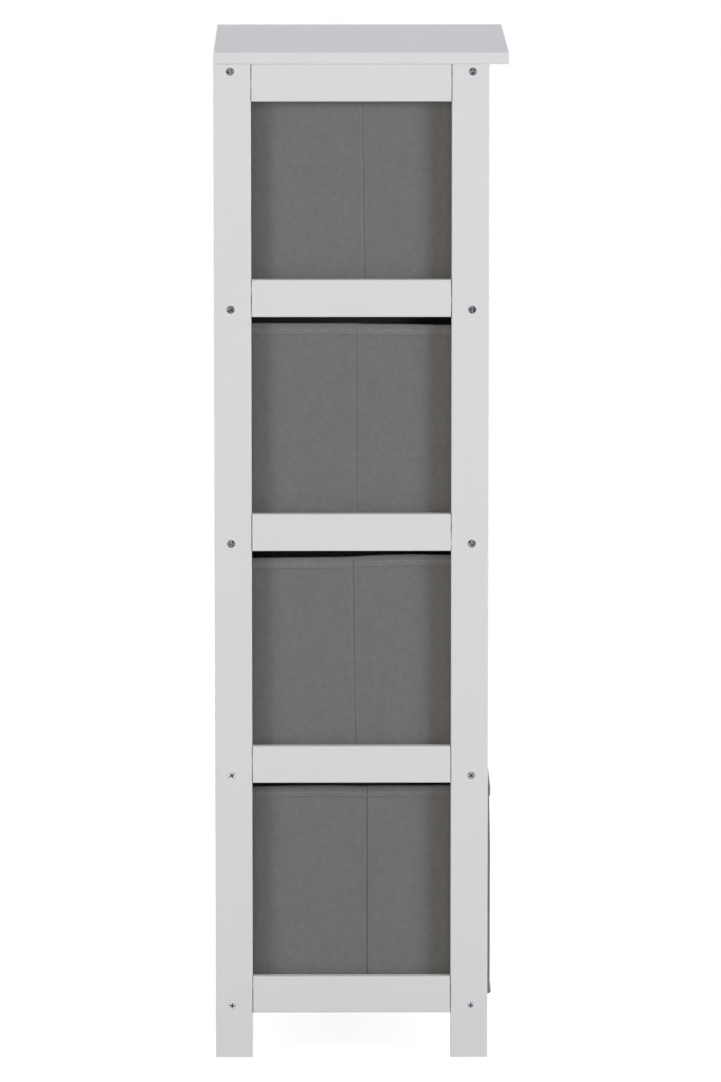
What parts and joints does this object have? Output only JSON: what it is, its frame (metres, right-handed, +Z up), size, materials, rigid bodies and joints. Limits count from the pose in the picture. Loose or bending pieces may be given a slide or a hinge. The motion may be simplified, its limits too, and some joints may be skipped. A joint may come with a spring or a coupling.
{
  "type": "fabric drawer unit",
  "caption": "Tall narrow storage unit: white ladder side frames, shelves and a flat top, with foldable grey fabric drawers that slide out by strap handles.",
  "frame": {"origin": "on the floor, at the centre of the unit's footprint", "axes": "+Z up, -Y towards the front where the drawers open, +X to the right seen from the front"},
  "size_m": [0.33, 0.3, 1.04],
  "materials": {
    "white_paint": "satin white paint",
    "grey_cloth": "matt woven grey cloth",
    "lining_cloth": "matt brownish grey non-woven cloth",
    "stiffener_board": "bare pressed board",
    "beech_dowel": "bare beech",
    "zinc_steel": "bright zinc plating"
  },
  "bodies": {
    "frame": {"top_panel": "white_paint", "front_batten": "white_paint", "back_batten": "white_paint", "back_panel": "white_paint", "left_front_post": "white_paint", "left_back_post": "white_paint", "right_front_post": "white_paint", "right_back_post": "white_paint", "left_top_rail": "white_paint", "right_top_rail": "white_paint", "left_frame_dowels": "beech_dowel", "right_frame_dowels": "beech_dowel", "left_frame_screws": "zinc_steel", "right_frame_screws": "zinc_steel", "top_screws": "zinc_steel", "back_panel_nails": "zinc_steel", "left_rail_1": "white_paint", "right_rail_1": "white_paint", "shelf_1": "white_paint", "left_rail_2": "white_paint", "right_rail_2": "white_paint", "shelf_2": "white_paint", "left_rail_3": "white_paint", "right_rail_3": "white_paint", "shelf_3": "white_paint", "left_rail_4": "white_paint", "right_rail_4": "white_paint", "shelf_4": "white_paint"},
    "drawer_1": {"drawer_1_cover": "grey_cloth", "drawer_1_stiffeners": "stiffener_board", "drawer_1_lining": "lining_cloth", "drawer_1_base_board": "lining_cloth", "drawer_1_hem": "grey_cloth", "drawer_1_handle": "grey_cloth"},
    "drawer_2": {"drawer_2_cover": "grey_cloth", "drawer_2_stiffeners": "stiffener_board", "drawer_2_lining": "lining_cloth", "drawer_2_base_board": "lining_cloth", "drawer_2_hem": "grey_cloth", "drawer_2_handle": "grey_cloth"},
    "drawer_3": {"drawer_3_cover": "grey_cloth", "drawer_3_stiffeners": "stiffener_board", "drawer_3_lining": "lining_cloth", "drawer_3_base_board": "lining_cloth", "drawer_3_hem": "grey_cloth", "drawer_3_handle": "grey_cloth"},
    "drawer_4": {"drawer_4_cover": "grey_cloth", "drawer_4_stiffeners": "stiffener_board", "drawer_4_lining": "lining_cloth", "drawer_4_base_board": "lining_cloth", "drawer_4_hem": "grey_cloth", "drawer_4_handle": "grey_cloth"}
  },
  "joints": [
    {"name": "drawer_1_slide", "type": "slide", "parent": "frame", "child": "drawer_1", "axis": [0, -1, 0], "range_m": [-0.02, 0.25]},
    {"name": "drawer_2_slide", "type": "slide", "parent": "frame", "child": "drawer_2", "axis": [0, -1, 0], "range_m": [-0.013, 0.25]},
    {"name": "drawer_3_slide", "type": "slide", "parent": "frame", "child": "drawer_3", "axis": [0, -1, 0], "range_m": [-0.011, 0.25]},
    {"name": "drawer_4_slide", "type": "slide", "parent": "frame", "child": "drawer_4", "axis": [0, -1, 0], "range_m": [-0.024, 0.25]}
  ]
}
